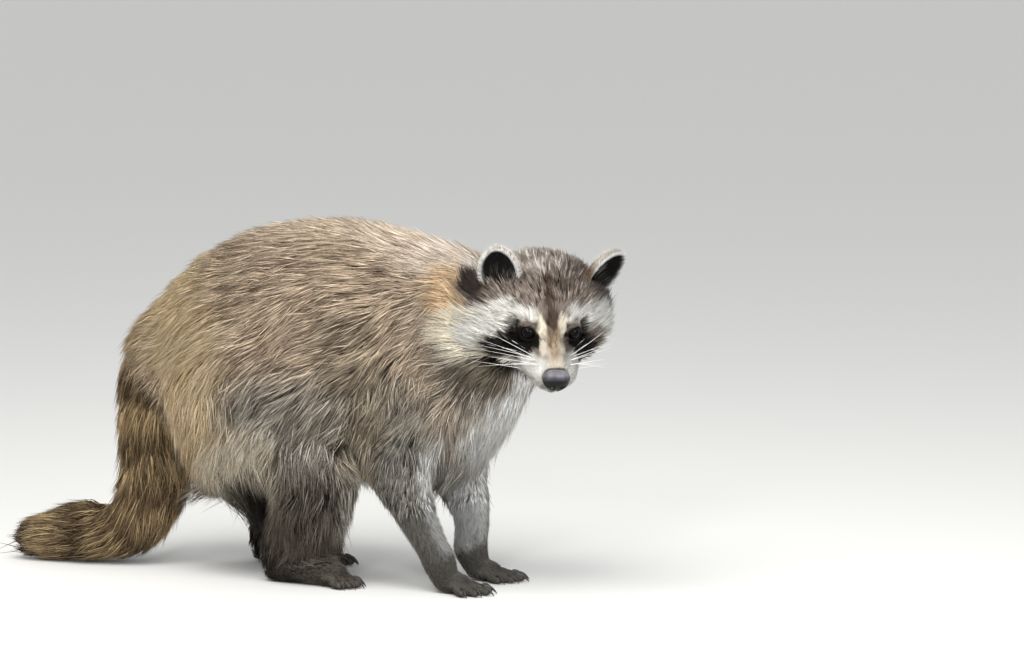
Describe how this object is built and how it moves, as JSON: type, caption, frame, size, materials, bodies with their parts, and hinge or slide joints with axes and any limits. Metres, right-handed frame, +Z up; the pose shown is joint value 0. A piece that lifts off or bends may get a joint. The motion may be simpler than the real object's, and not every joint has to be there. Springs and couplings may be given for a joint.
{
  "type": "raccoon",
  "caption": "Life-size still model of a standing common raccoon with an arched back, its head turned to its right and lowered, and a ringed tail that trails on the floor.",
  "frame": {"origin": "middle of the model's box on the floor", "axes": "+X the way the trunk points, from tail to chest; +Y the animal's left; +Z up, soles at Z = 0"},
  "size_m": [0.6245, 0.2035, 0.3387],
  "materials": {
    "grizzled_coat": "long grizzled grey-brown fur with pale tips",
    "leg_coat": "grey-brown fur, shorter towards the feet",
    "paw_coat": "short grey-brown fur over dark skin",
    "tail_coat": "bushy tan fur with darker rings",
    "face_coat": "short fur, white brows and muzzle with a black mask",
    "ear_coat": "short fur, dark inside with a white rim",
    "nose_leather": "moist black nose leather",
    "eye": "wet, near-black brown"
  },
  "bodies": {
    "root": {"trunk": "grizzled_coat", "neck": "grizzled_coat", "head": "face_coat", "nose": "nose_leather", "eye_right": "eye", "eye_left": "eye", "ear_right": "ear_coat", "ear_left": "ear_coat", "tail_base": "tail_coat", "tail_middle": "tail_coat", "tail_bend": "tail_coat", "tail_tip": "tail_coat", "thigh_right": "leg_coat", "shank_right": "leg_coat", "hind_foot_right": "paw_coat", "upper_arm_right": "leg_coat", "forearm_right": "leg_coat", "forepaw_right": "paw_coat", "thigh_left": "leg_coat", "shank_left": "leg_coat", "hind_foot_left": "paw_coat", "upper_arm_left": "leg_coat", "forearm_left": "leg_coat", "forepaw_left": "paw_coat"}
  },
  "joints": []
}
